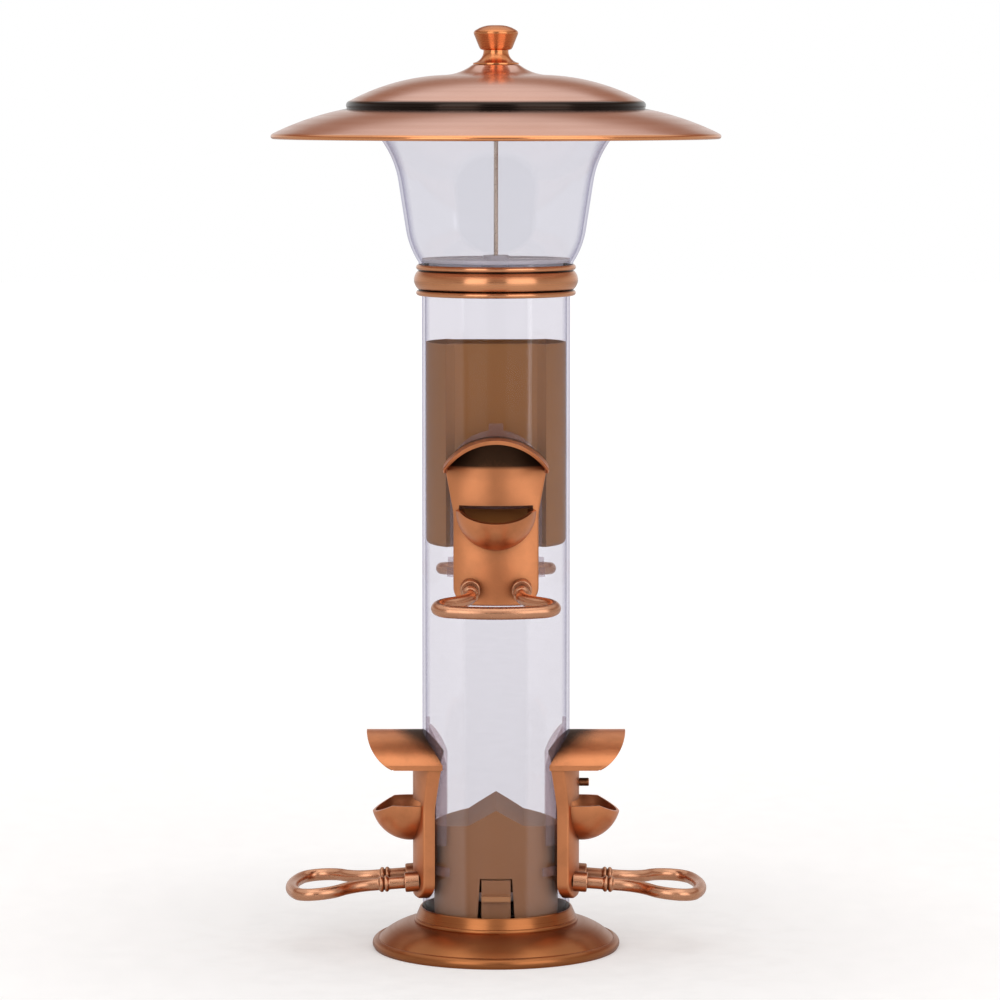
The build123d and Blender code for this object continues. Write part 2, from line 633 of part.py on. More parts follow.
def hood_side(edge_x):
    """The hood's side view: its front edge sweeps back in one arc from the top to the lips."""
    foot = HOOD_EDGE_Z - HOOD_LIP_H
    low, high = foot - 1, HOOD_TOP_Z + 1
    back_x = edge_x - HOOD_SWEEP
    through = (edge_x - HOOD_SWEEP * 0.31, HOOD_TOP_Z - (HOOD_TOP_Z - foot) * 0.57)
    outline = make_face([
        Line((0, low), (back_x, low)),
        Line((back_x, low), (back_x, foot)),
        ThreePointArc((back_x, foot), through, (edge_x, HOOD_TOP_Z)),
        Line((edge_x, HOOD_TOP_Z), (edge_x, high)),
        Line((edge_x, high), (0, high)),
        Line((0, high), (0, low)),
    ])
    return extrude(Plane.XZ * outline, hood_half_w + 1, both=True)


def is_outer_rim(edge):
    """True for the plate's edges that lie on its outer face, below the hood."""
    mid = edge @ 0.5
    on_face = abs(sqrt(mid.X**2 + mid.Y**2) - face_r) < 0.05
    return on_face and mid.Z < HOOD_EDGE_Z - HOOD_LIP_H


def cup_lip_cut():
    """The wedge that lowers the cup's lip towards its tip."""
    tip_x = face_r + CUP_FORWARD + CUP_R
    hinge_x = tip_x - CUP_LIP_RUN
    outline = make_face(Polyline(
        (hinge_x, CUP_RIM_Z), (tip_x + 5, CUP_RIM_Z - CUP_LIP_DROP * (1 + 5 / CUP_LIP_RUN)),
        (tip_x + 5, CUP_RIM_Z + 5), (hinge_x, CUP_RIM_Z + 5), close=True,
    ))
    return extrude(Plane.XZ * outline, 40, both=True)


def port_screw_holes():
    depth = face_r - 1.2
    return [rod(PORT_SCREW_D / 2 + RUNNING_GAP, (bore_r, 0, z), (1, 0, 0), depth - bore_r)
            for z in PORT_SCREW_Z]


def port_screws():
    """Two screws from inside the tube, through the retainer and the tube's wall."""
    head_x = panel_r - SEAT_GAP
    screws = []
    for z in PORT_SCREW_Z:
        shank = rod(PORT_SCREW_D / 2, (head_x, 0, z), (1, 0, 0), face_r - 1.5 - head_x)
        head = rod(PORT_SCREW_HEAD_D / 2, (head_x, 0, z), (-1, 0, 0), PORT_SCREW_HEAD_H)
        cross = rod(0.9, (head_x - PORT_SCREW_HEAD_H, 0, z), (1, 0, 0), 1.0)
        screws.append(shank + head - cross)
    return screws


def port_retainer():
    """The curved plate inside the tube: an arch like the hood's, a lug on top and a wing bar."""
    shell = pipe(retainer_r, panel_r, 0, HOOD_TOP_Z + 20)
    arch_half, arch_foot = retainer_half_w, CUP_RIM_Z - tube_mouth_r - RETAINER_MARGIN
    arch_top = HOOD_TOP_Z + RETAINER_MARGIN
    arch = make_face([
        Line((-arch_half, arch_foot), (arch_half, arch_foot)),
        Line((arch_half, arch_foot), (arch_half, HOOD_EDGE_Z)),
        ThreePointArc((arch_half, HOOD_EDGE_Z), (0, arch_top), (-arch_half, HOOD_EDGE_Z)),
        Line((-arch_half, HOOD_EDGE_Z), (-arch_half, arch_foot)),
    ])
    lug = Pos(0, arch_top + LUG_H / 2 - 0.5) * Rectangle(LUG_W, LUG_H + 1)
    post = Pos(0, (arch_foot + WING_Z) / 2) * Rectangle(12, arch_foot - WING_Z + 1)
    wings = Pos(0, WING_Z) * Rectangle(2 * WING_HALF_W, WING_H)
    half_disc = Circle(tube_mouth_r) & Pos(0, -tube_mouth_r) * Rectangle(99, 2 * tube_mouth_r)
    outline = arch + lug + post + wings - Pos(0, CUP_RIM_Z) * half_disc
    plate = shell & slab(outline, (bore_r / 3, tube_r + 1))
    for z in PORT_SCREW_Z:
        plate -= rod(PORT_SCREW_D / 2 + SEAT_GAP, (bore_r / 2, 0, z), (1, 0, 0), tube_r)
    return plate


# ---- perches ------------------------------------------------------------------------------
def perch_frame(shape):
    """Place a shape drawn level from the plate's face, and slope it down by the perch's slope."""
    return Pos(face_r, 0, PERCH_Z) * Rot(0, PERCH_SLOPE, 0) * shape


def perch_seats():
    """The blind holes for the perch's arms and the flat seats for its two sockets."""
    cuts = []
    for side in (-1, 1):
        start = (perch_start_x() - SEAT_GAP, side * PERCH_HALF_GAP, 0)
        seat = (seat_x() - SEAT_GAP, side * PERCH_HALF_GAP, 0)
        cuts.append(perch_frame(rod(PERCH_D / 2 + RUNNING_GAP, start, (1, 0, 0), 20)))
        cuts.append(perch_frame(rod(SOCKET_D / 2 + RUNNING_GAP, seat, (1, 0, 0), 20)))
    return cuts


def seat_x():
    """Where a socket's inner end seats, a little under the plate's face as it curves away."""
    return sqrt(face_r**2 - (PERCH_HALF_GAP + SOCKET_D / 2) ** 2) + 0.6 - face_r


def perch_start_x():
    """Where an arm's inner end stops, in the plate behind its curved face."""
    return sqrt(face_r**2 - PERCH_HALF_GAP**2) - PERCH_SEAT - face_r + 0.7


def perch_sockets():
    sockets = []
    for side in (-1, 1):
        start = (seat_x(), side * PERCH_HALF_GAP, 0)
        length = SOCKET_LENGTH - seat_x()
        sleeve = rod(SOCKET_D / 2, start, (1, 0, 0), length)
        sleeve = fillet(sleeve.edges().filter_by(GeomType.CIRCLE).sort_by(Axis.X)[-1], 0.7)
        sleeve -= rod(PERCH_D / 2 + RUNNING_GAP, start, (1, 0, 0), length + 1)
        sockets.append(perch_frame(sleeve))
    return sockets


def perch_path():
    """The loop's centreline in plan, all of tangent lines and arcs.

    Each arm runs straight, bends out and back in two equal turns to the widest place, and
    goes over a small corner arc into one wide arc round the tip.
    """
    run, rise = PERCH_WIDEST - PERCH_STRAIGHT, PERCH_HALF_W - PERCH_HALF_GAP
    turn = 2 * atan(rise / run)
    both_r = run / sin(turn)
    out_r = both_r * 0.55
    in_r = both_r - out_r
    ahead = PERCH_WIDEST - (PERCH_REACH - PERCH_TIP_R)
    corner_r = (PERCH_TIP_R**2 - ahead**2 - PERCH_HALF_W**2) / (2 * (PERCH_TIP_R - PERCH_HALF_W))
    tip_half = degrees(acos(ahead / (PERCH_TIP_R - corner_r)))
    swing = degrees(turn)
    arms = []
    for side in (-1, 1):
        out_centre = (PERCH_STRAIGHT, side * (PERCH_HALF_GAP + out_r))
        in_centre = (PERCH_WIDEST, side * (PERCH_HALF_W - in_r))
        corner_centre = (PERCH_WIDEST, side * (PERCH_HALF_W - corner_r))
        arms += [
            Line((perch_start_x(), side * PERCH_HALF_GAP), (PERCH_STRAIGHT, side * PERCH_HALF_GAP)),
            CenterArc(out_centre, out_r, -side * 90, side * swing),
            CenterArc(in_centre, in_r, side * 90, side * swing),
            CenterArc(corner_centre, corner_r, side * 90, -side * (90 - tip_half)),
        ]
    tip = CenterArc((PERCH_REACH - PERCH_TIP_R, 0), PERCH_TIP_R, -tip_half, 2 * tip_half)
    return Wire([*[edge for arc in arms for edge in arc.edges()], *tip.edges()])


def perch_loop():
    path = perch_path()
    start = (perch_start_x(), -PERCH_HALF_GAP, 0)
    loop = sweep(Plane(origin=start, z_dir=(1, 0, 0)) * Circle(PERCH_D / 2), path)
    for side in (-1, 1):
        for k in (-0.5, 0.5):
            centre = (BEAD_AT + k * BEAD_PITCH - 1.1, side * PERCH_HALF_GAP, 0)
            bead = rod(BEAD_D / 2, centre, (1, 0, 0), 2.2)
            loop += fillet(bead.edges().filter_by(GeomType.CIRCLE), 0.9)
    return perch_frame(loop)


def peg_slot(side):
    """The narrow upright slot in the face of a lower port."""
    u = side * PEG_SLOT_OFFSET
    face_x = sqrt(face_r**2 - PEG_SLOT_OFFSET**2)
    width = (u - PEG_SLOT_W / 2, u + PEG_SLOT_W / 2)
    height = (PEG_Z - PEG_SLOT_H / 2, PEG_Z + PEG_SLOT_H / 2)
    return block((face_x - PEG_SLOT_DEPTH, face_r + 1), width, height)


def thumb_peg():
    """The short peg on the face of the right-hand port, under its hood."""
    peg = rod(PEG_D / 2, (face_r + RUNNING_GAP, 0, PEG_Z), (1, 0, 0), PEG_LENGTH)
    return fillet(peg.edges().filter_by(GeomType.CIRCLE).sort_by(Axis.X)[-1], 0.5)


# ---- write every node ---------------------------------------------------------------------
save("base_foot", base_foot())
save("foot_screws", foot_screws())
save("bottom_deflector", bottom_deflector())
save("seed_tube", seed_tube())
save("collar_ring", collar_ring())
save("flared_hopper", flared_hopper())
save("cable_spider", cable_spider())
save("cable_stop", cable_stop())
save("hanger_cable", hanger_cable())
save("cable_stud", cable_stud())
save("lid_shell", lid_shell())
save("lid_locating_ring", lid_locating_ring())
save("lid_knob", lid_knob())
save("mid_baffle_sleeve", mid_baffle_sleeve())
save("mid_baffle_shelves", mid_baffle_shelves())
for name, side in FRONT_AND_BACK.items():
    save(f"latch_tongue_{name}", latch_tongue(side))
body, retainer, loop = port_body(), port_retainer(), perch_loop()
for name in PORTS:
    cut_body = body - peg_slot(SLOT_SIDES[name]) if name in SLOT_SIDES else body
    save(f"port_body_{name}", at_port(name, cut_body))
    save(f"port_retainer_{name}", at_port(name, retainer))
    save(f"port_screws_{name}", [at_port(name, screw) for screw in port_screws()])
    save(f"perch_sockets_{name}", [at_port(name, socket) for socket in perch_sockets()])
    save(f"perch_loop_{name}", at_port(name, loop))
save("thumb_peg", at_port("right", thumb_peg()))
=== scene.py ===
"""The tube bird feeder's looks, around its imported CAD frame.

Metres, +Z up, front towards -Y. New pieces are surfaces worked out on grids with numpy; their
places come from the frame's own boxes, and their small details from the sizes named below.
"""
import json
import math

import bmesh
import bpy
import numpy as np
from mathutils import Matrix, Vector


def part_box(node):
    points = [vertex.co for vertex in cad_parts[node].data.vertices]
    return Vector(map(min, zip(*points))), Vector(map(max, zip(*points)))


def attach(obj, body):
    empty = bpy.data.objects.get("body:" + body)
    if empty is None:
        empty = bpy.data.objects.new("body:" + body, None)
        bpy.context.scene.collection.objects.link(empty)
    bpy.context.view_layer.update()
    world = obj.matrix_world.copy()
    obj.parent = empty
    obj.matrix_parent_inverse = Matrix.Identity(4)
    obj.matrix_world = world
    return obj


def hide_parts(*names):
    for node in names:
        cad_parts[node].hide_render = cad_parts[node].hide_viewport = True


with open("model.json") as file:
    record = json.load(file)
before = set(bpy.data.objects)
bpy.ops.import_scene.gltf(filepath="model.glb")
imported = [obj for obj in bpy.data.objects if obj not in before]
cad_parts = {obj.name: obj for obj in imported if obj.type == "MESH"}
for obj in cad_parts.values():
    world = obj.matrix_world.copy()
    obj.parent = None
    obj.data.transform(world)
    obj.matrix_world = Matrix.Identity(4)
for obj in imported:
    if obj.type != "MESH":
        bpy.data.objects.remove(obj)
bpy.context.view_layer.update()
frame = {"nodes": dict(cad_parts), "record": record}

MM = 0.001
# the way each port faces, in degrees
PORT_TURNS = {"front": -90, "back": 90, "left": 180, "right": 0}


# ---- camera -------------------------------------------------------------------------------
CAMERA_DISTANCE = 2.27    # metres from the feeder's axis
CAMERA_HEIGHT = 0.4414
CAMERA_PITCH = 5.26       # degrees below level
CAMERA_YAW = -0.052       # degrees; it looks a touch to the right of the axis
CAMERA_LENS = 159.55      # focal length in millimetres
CAMERA_SENSOR = 36.0


def make_camera():
    """A long lens at the lid's height, tipped down to take in the foot."""
    data = bpy.data.cameras.new("studio_camera")
    data.lens, data.sensor_width = CAMERA_LENS, CAMERA_SENSOR
    data.clip_start, data.clip_end = 0.05, 50.0
    camera = bpy.data.objects.new("studio_camera", data)
    camera.location = (0.0, -CAMERA_DISTANCE, CAMERA_HEIGHT)
    camera.rotation_euler = (math.radians(90 - CAMERA_PITCH), 0, math.radians(CAMERA_YAW))
    bpy.context.scene.collection.objects.link(camera)
    bpy.context.scene.camera = camera


# ---- surfaces on grids --------------------------------------------------------------------
WELD_DISTANCE = 1e-6      # metres; points closer than this become one
THINNEST_FACE = 1e-7
SWEEP_SIDES = 24          # points round a section that is carried along a path


def grid_faces(rows, columns, close_u=False, close_v=False):
    """The four corners of each cell of a grid.

    A closed direction joins its last line of points to its first.
    """
    i = np.arange(rows if close_u else rows - 1)[:, None]
    j = np.arange(columns if close_v else columns - 1)[None, :]
    i2, j2 = (i + 1) % rows, (j + 1) % columns
    corners = [i * columns + j, i * columns + j2, i2 * columns + j2, i2 * columns + j]
    return np.stack(corners, axis=-1).reshape(-1, 4)


def surface(name, grid, material, body, nodes=(), close_u=False, close_v=False, sharp=40):
    """A mesh from a grid of points: rows run along u, columns along v, and each cell is a face."""
    faces = grid_faces(*grid.shape[:2], close_u, close_v)
    return make_piece(name, grid.reshape(-1, 3), faces, material, body, nodes, sharp)


def make_piece(name, points, faces, material, body, nodes=(), sharp=40):
    mesh = bpy.data.meshes.new(name)
    mesh.from_pydata(points.tolist(), [], faces.tolist())
    piece = bpy.data.objects.new(name, mesh)
    bpy.context.scene.collection.objects.link(piece)
    tidy_mesh(mesh)
    mesh.shade_smooth()
    mesh.set_sharp_from_angle(angle=math.radians(sharp))
    mesh.materials.append(material)
    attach(piece, body)
    if nodes:
        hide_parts(*nodes)
    return piece


def tidy_mesh(mesh):
    """Merge the doubled points at poles and seams, and make all faces point outwards."""
    work = bmesh.new()
    work.from_mesh(mesh)
    bmesh.ops.remove_doubles(work, verts=work.verts, dist=WELD_DISTANCE)
    bmesh.ops.dissolve_degenerate(work, edges=work.edges, dist=THINNEST_FACE)
    bmesh.ops.recalc_face_normals(work, faces=work.faces)
    work.to_mesh(mesh)
    work.free()


def arc(start, through, end, count=24):
    """Points on the circle through three (r, z) points, from the first to the last.

    Its centre is as far from all three: the two equations for that are solved for it directly.
    """
    (ax, ay), (bx, by), (cx, cy) = start, through, end
    d = 2 * (ax * (by - cy) + bx * (cy - ay) + cx * (ay - by))
    a_sq, b_sq, c_sq = ax**2 + ay**2, bx**2 + by**2, cx**2 + cy**2
    ux = (a_sq * (by - cy) + b_sq * (cy - ay) + c_sq * (ay - by)) / d
    uy = (a_sq * (cx - bx) + b_sq * (ax - cx) + c_sq * (bx - ax)) / d
    a0, a1, a2 = (math.atan2(y - uy, x - ux) for x, y in (start, through, end))
    turn = (a2 - a0) % (2 * math.pi)
    if (a1 - a0) % (2 * math.pi) > turn:
        turn -= 2 * math.pi
    a = a0 + np.linspace(0, 1, count) * turn
    radius = math.hypot(ax - ux, ay - uy)
    return np.stack([ux + radius * np.cos(a), uy + radius * np.sin(a)], axis=1)


def outline(start, *steps):
    """A closed section as (r, z) points.

    A step is the next point, or (through, next) for an arc.
    """
    parts, here = [np.array([start])], start
    for step in steps:
        if isinstance(step[0], tuple):
            parts.append(arc(here, *step)[1:])
            here = step[1]
        else:
            parts.append(np.array([step]))
            here = step
    return np.concatenate(parts)


def distances(line):
    """How far along a line of points each of them is."""
    return np.r_[0, np.cumsum(np.linalg.norm(np.diff(line, axis=0), axis=1))]


def evenly(line, count, closed=False):
    """A line at even steps along its length, and how far along each of those points is."""
    if closed:
        line = np.concatenate([line, line[:1]])
    s = distances(line)
    at = np.linspace(0, s[-1], count, endpoint=not closed)
    return np.stack([np.interp(at, s, values) for values in line.T], axis=1), at


def softened(section, step, blur):
    """The closed section at even steps, run through a bell-shaped running average of that blur.

    That rounds every corner by about the blur and leaves long curves where they are.
    """
    length = distances(np.concatenate([section, section[:1]]))[-1]
    count = max(24, int(length / step))
    even = evenly(section, count, closed=True)[0]
    frequency = np.fft.fftfreq(count, d=length / count)
    weight = np.exp(-2 * (math.pi * frequency * blur) ** 2)[:, None]
    return np.real(np.fft.ifft(np.fft.fft(even, axis=0) * weight, axis=0))


def lathe(name, section, turns, material, body, nodes=(), sharp=40):
    """A section of (r, z) millimetres carried round Z: x = r cos a, y = r sin a."""
    a = np.linspace(0, 2 * math.pi, turns, endpoint=False)[:, None]
    r, z = np.maximum(section[:, 0], 0)[None, :], section[:, 1][None, :]
    grid = np.stack([r * np.cos(a), r * np.sin(a), z + 0 * a], axis=-1) * MM
    return surface(name, grid, material, body, nodes, close_u=True, close_v=True, sharp=sharp)


def carried(path, radius, around):
    """A round section carried along a path: point + radius (n cos t + b sin t).

    n and b are square to the path; b is the direction given, freed of its part along the path.
    """
    ahead = np.gradient(path, axis=0)
    ahead /= np.linalg.norm(ahead, axis=1, keepdims=True)
    b = around - (ahead @ around)[:, None] * ahead
    b /= np.linalg.norm(b, axis=1, keepdims=True)
    n = np.cross(ahead, b)
    t = np.linspace(0, 2 * math.pi, SWEEP_SIDES, endpoint=False)[None, :, None]
    radius = np.asarray(radius).reshape(-1, 1, 1) * np.ones((len(path), 1, 1))
    return path[:, None, :] + radius * (n[:, None, :] * np.cos(t) + b[:, None, :] * np.sin(t))


def closed_ends(path, grid):
    """The swept grid with each end drawn in to the path's own end point, which closes it."""
    first, last = (np.repeat(path[k][None, None, :], grid.shape[1], axis=1) for k in (0, -1))
    return np.concatenate([first, grid, last])


def turned_about_z(points, degrees):
    """The points turned about Z: x cos a - y sin a, x sin a + y cos a."""
    a = math.radians(degrees)
    x, y, z = points[..., 0], points[..., 1], points[..., 2]
    turned = [x * math.cos(a) - y * math.sin(a), x * math.sin(a) + y * math.cos(a), z]
    return np.stack(turned, axis=-1)


# ---- materials ----------------------------------------------------------------------------
# Near black: painted shade on the lid's step, and dark bands over the ring's grooves.
NEAR_BLACK = (0.035, 0.026, 0.022)
PORT_COPPER = (0.78, 0.30, 0.13)
PORT_DARK = (0.055, 0.028, 0.016)
BRUSH_GRAIN = (60, 60, 500)      # the brushing runs level, so it is finest up and down
SMALL_HOLLOW, LARGE_HOLLOW = 0.004, 0.028   # metres; how far the small hollows' black patination and the large hollows' painted shade look for cover
HOOD_SHADE_Z = 97.0             # millimetres; from here up, the inside of a lower hood is painted black as shade


class Nodes:
    """A short way to write a material's node tree."""

    def __init__(self, name):
        self.material = bpy.data.materials.new(name)
        self.material.use_nodes = True
        self.tree = self.material.node_tree
        self.shader = self.tree.nodes["Principled BSDF"]
        self.output = self.tree.nodes["Material Output"]

    def add(self, kind, inputs=(), **settings):
        """One node. An input is a value, or another node's output socket."""
        node = self.tree.nodes.new("ShaderNode" + kind)
        for key, value in settings.items():
            setattr(node, key, value)
        for key, value in dict(inputs).items():
            self.join(value, node.inputs[key])
        return node

    def join(self, value, socket):
        if isinstance(value, bpy.types.NodeSocket):
            self.tree.links.new(value, socket)
        else:
            socket.default_value = value

    def place(self):
        return self.add("TexCoord").outputs["Object"]

    def noise(self, vector, scale, detail=2.0, roughness=0.5):
        inputs = {"Vector": vector, "Scale": scale, "Detail": detail, "Roughness": roughness}
        return self.add("TexNoise", inputs).outputs["Fac"]

    def stretched(self, vector, scale):
        """The vector with each coordinate multiplied, for grain that runs one way."""
        return self.add("Mapping", {"Vector": vector, "Scale": scale}).outputs["Vector"]

    def math(self, operation, *values):
        node = self.add("Math", operation=operation)
        for socket, value in zip(node.inputs, values):
            self.join(value, socket)
        return node.outputs[0]

    def spread(self, value, low, high, to_low=0.0, to_high=1.0):
        """The value taken from one range to another, and kept inside it."""
        inputs = {"Value": value, "From Min": low, "From Max": high,
                  "To Min": to_low, "To Max": to_high}
        return self.add("MapRange", inputs).outputs["Result"]

    def blend(self, share, first, second):
        """Two colours mixed by a share."""
        node = self.add("Mix", {0: share}, data_type="RGBA")
        self.join((*first, 1) if isinstance(first, tuple) else first, node.inputs[6])
        self.join((*second, 1) if isinstance(second, tuple) else second, node.inputs[7])
        return node.outputs[2]

    def bump(self, height, distance, strength):
        inputs = {"Height": height, "Distance": distance, "Strength": strength}
        return self.add("Bump", inputs).outputs["Normal"]

    def set(self, **inputs):
        """Set the shader's own sockets; an underscore stands for a space."""
        for key, value in inputs.items():
            self.join(value, self.shader.inputs[key.replace("_", " ")])
        return self.material

    def band(self, value, low, high, edge):
        """One inside a range of values and nought outside it, with soft edges."""
        rise = self.spread(value, low - edge, low + edge)
        fall = self.spread(value, high - edge, high + edge, 1.0, 0.0)
        return self.math("MULTIPLY", rise, fall)


def lathe_place(n):
    """Distance from the axis, height, and the two together as a vector for rings of grain."""
    place = n.place()
    flat = n.add("VectorMath", {0: place, 1: (1, 1, 0)}, operation="MULTIPLY").outputs[0]
    radius = n.add("VectorMath", {0: flat}, operation="LENGTH").outputs["Value"]
    height = n.add("SeparateXYZ", {0: place}).outputs["Z"]
    along = n.add("CombineXYZ", {"X": radius, "Z": height}).outputs[0]
    return place, radius, height, along


def spun_copper(name, colour, dark, rough, fan, bands=(), ring_bump=0.5):
    """Copper spun on a lathe: fine rings about the axis, thin uneven tarnish, and bands of colour.

    A band is (low, high, edge, colour), with its heights in metres. The fan is the sheen's stretch
    across the rings.
    """
    n = Nodes(name)
    place, radius, height, along = lathe_place(n)
    rings = n.noise(along, 2400.0, 3.0)
    broad = n.noise(along, 260.0, 2.0)
    cloud = n.noise(place, 17.0, 4.0)
    tarnish = n.spread(cloud, 0.45, 0.75, 0.0, 0.35)
    base = n.blend(tarnish, colour, dark)
    base = n.blend(n.spread(broad, 0.35, 0.7, 0.0, 0.2), base, dark)
    for low, high, edge, other in bands:
        base = n.blend(n.band(height, low, high, edge), base, other)
    n.set(Base_Color=base, Metallic=1.0, Anisotropic=fan, Anisotropic_Rotation=0.25)
    n.set(Tangent=n.add("Tangent", direction_type="RADIAL", axis="Z").outputs[0])
    n.set(Roughness=n.spread(n.math("ADD", rings, broad), 0.7, 1.3, rough - 0.04, rough + 0.06))
    n.set(Normal=n.bump(rings, 0.00001, ring_bump))
    return n.material


def brushed_copper(name, colour, dark, rough, deep, hood=None):
    """Antique copper plating: brushed grain, smears, black patination in small hollows, and painted
    shade in large hollows.

    Deep is the strength of both. Inside a hood, above the height given, the painted shade is
    unbroken.
    """
    n = Nodes(name)
    place = n.place()
    fine = n.noise(n.stretched(place, BRUSH_GRAIN), 3.0, 3.0)
    cloud = n.noise(place, 60.0, 5.0, 0.6)
    small = n.add("AmbientOcclusion", {"Distance": SMALL_HOLLOW}, samples=6).outputs["AO"]
    large = n.add("AmbientOcclusion", {"Distance": LARGE_HOLLOW}, samples=8).outputs["AO"]
    # Small hollows get the plating's black patination; large hollows get painted shade.
    in_small = n.spread(small, 0.3, 0.9, 1.0, 0.0)
    large_shade = n.spread(large, 0.40, 0.92, 1.0, 0.0)
    patina_and_shade_mask = n.math("MAXIMUM", in_small, large_shade)
    smear = n.spread(cloud, 0.42, 0.72, 0.0, 0.25)
    patina_and_shade = n.math("MULTIPLY", patina_and_shade_mask, n.spread(cloud, 0.1, 0.6, 0.8 * deep, deep))
    # Painted shade: inside a hood, above the height given, the plate is black.
    if hood:
        height = n.add("SeparateXYZ", {0: place}).outputs["Z"]
        covered = n.spread(large, 0.76, 0.86, 1.0, 0.0)
        above = n.spread(height, hood - 0.001, hood + 0.0015)
        inside = n.math("MULTIPLY", covered, above)
        patina_and_shade = n.math("MAXIMUM", patina_and_shade, inside)
    patina_and_shade = n.math("MAXIMUM", patina_and_shade, smear)
    n.set(Base_Color=n.blend(patina_and_shade, colour, dark), Metallic=1.0)
    n.set(Roughness=n.spread(n.math("ADD", fine, patina_and_shade), 0.3, 1.7, rough - 0.06, rough + 0.16))
    n.set(Normal=n.bump(fine, 0.00002, 0.45))
    return n.material


def clear_plastic(name, tint, painted_edge_tint):
    """Clear moulded plastic: see-through, with sheen, a painted dark reflection across its middle
    where it faces the viewer, and a painted darker edge where it turns away.
    """
    n = Nodes(name)
    n.tree.nodes.remove(n.shader)
    wave = n.noise(n.place(), 22.0, 1.0)
    normal = n.bump(wave, 0.0003, 0.15)
    facing = n.add("LayerWeight", {"Blend": 0.5}).outputs["Facing"]
    # Painted reflection: the middle, where it faces the viewer, is tinted a little darker.
    full = n.spread(facing, 0.095, 0.125)
    turned = n.add("SeparateXYZ", {0: n.add("NewGeometry").outputs["Normal"]}).outputs["Z"]
    upright = n.spread(n.math("ABSOLUTE", turned), 0.5, 0.9, 1.0, 0.0)
    # Painted shade: upright faces darken towards the edge tint where they turn away.
    rim = n.math("MULTIPLY", n.spread(facing, 0.62, 0.97), upright)
    body = n.blend(full, tuple(c * 0.968 for c in tint), tint)
    through = n.add("BsdfTransparent", {"Color": n.blend(rim, body, painted_edge_tint)})
    shine = n.add("BsdfGlossy", {"Color": (1, 1, 1, 1), "Roughness": 0.05, "Normal": normal})
    face_sheen, edge_sheen = n.spread(full, 0.0, 1.0, 0.004, 0.045), n.math("MULTIPLY", rim, 0.22)
    share = n.math("ADD", face_sheen, edge_sheen)
    mixed = n.add("MixShader", {0: share, 1: through.outputs[0], 2: shine.outputs[0]})
    n.join(mixed.outputs[0], n.output.inputs["Surface"])
    return n.material


def smoky_plastic(name, colour, dark, clear):
    """Cloudy tinted plastic that lets a share of the light through."""
    n = Nodes(name)
    cloud = n.noise(n.place(), 40.0, 3.0)
    n.set(Base_Color=n.blend(n.spread(cloud, 0.3, 0.7), colour, dark))
    n.set(Roughness=0.22, Specular_IOR_Level=0.4)
    through = n.add("BsdfTransparent", {"Color": (0.95, 0.91, 0.93, 1)})
    mixed = n.add("MixShader", {0: clear, 1: n.shader.outputs[0], 2: through.outputs[0]})
    n.join(mixed.outputs[0], n.output.inputs["Surface"])
    return n.material


def moulded_plastic(name, colour, dark, rough=0.42):
    """Satin moulded plastic with a fine grain and faint flow marks."""
    n = Nodes(name)
    place = n.place()
    grain = n.noise(place, 900.0, 3.0)
    flow = n.noise(n.stretched(place, (30, 30, 9)), 1.2, 3.0)
    n.set(Base_Color=n.blend(n.spread(flow, 0.35, 0.7, 0.0, 0.5), colour, dark))
    n.set(Roughness=n.spread(grain, 0.3, 0.7, rough - 0.05, rough + 0.08), Specular_IOR_Level=0.5)
    n.set(Normal=n.bump(grain, 0.00002, 0.2))
    return n.material


def wire_metal(name, colour, dark):
    """Bright drawn wire, with painted shade between its strands and random dark specks."""
    n = Nodes(name)
    place = n.place()
    # Painted shade: darker where the strands hide each other.
    recess = n.add("AmbientOcclusion", {"Distance": 0.0006}, samples=6).outputs["AO"]
    speck = n.noise(place, 1500.0, 2.0)
    between, specks = n.spread(recess, 0.3, 0.9, 1.0, 0.0), n.spread(speck, 0.55, 0.8, 0.0, 0.4)
    share = n.math("MAXIMUM", between, specks)
    n.set(Base_Color=n.blend(share, colour, dark), Metallic=1.0)
    n.set(Roughness=n.spread(speck, 0.3, 0.7, 0.22, 0.36), Normal=n.bump(speck, 0.00001, 0.4))
    return n.material


# ---- studio -------------------------------------------------------------------------------
# Stops of (share, light) in what the metal mirrors: ROOM_AROUND runs from back to front, and
# ROOM_ABOVE from level to overhead. ROOM_RISING is ROOM_ABOVE's share in the two, on the way up.
ROOM_AROUND = [(0.0, 0.80), (0.50, 0.55), (0.72, 0.42), (0.82, 0.18), (1.0, 0.07)]
ROOM_ABOVE = [(0.0, (0.6, 0.6, 0.6)), (0.26, (0.6, 0.58, 0.56)), (0.38, (0.34, 0.20, 0.14)),
              (0.50, (0.36, 0.22, 0.16)), (0.62, (0.8, 0.8, 0.8)), (1.0, (0.8, 0.8, 0.8))]
ROOM_RISING = [(0.0, 0.0), (0.10, 0.0), (0.26, 1.0), (1.0, 1.0)]
FLOOR_HALF = 8.0          # metres
LIGHT_AIM = (0, 0, 0.26)  # the softboxes all face this point, half way up the feeder


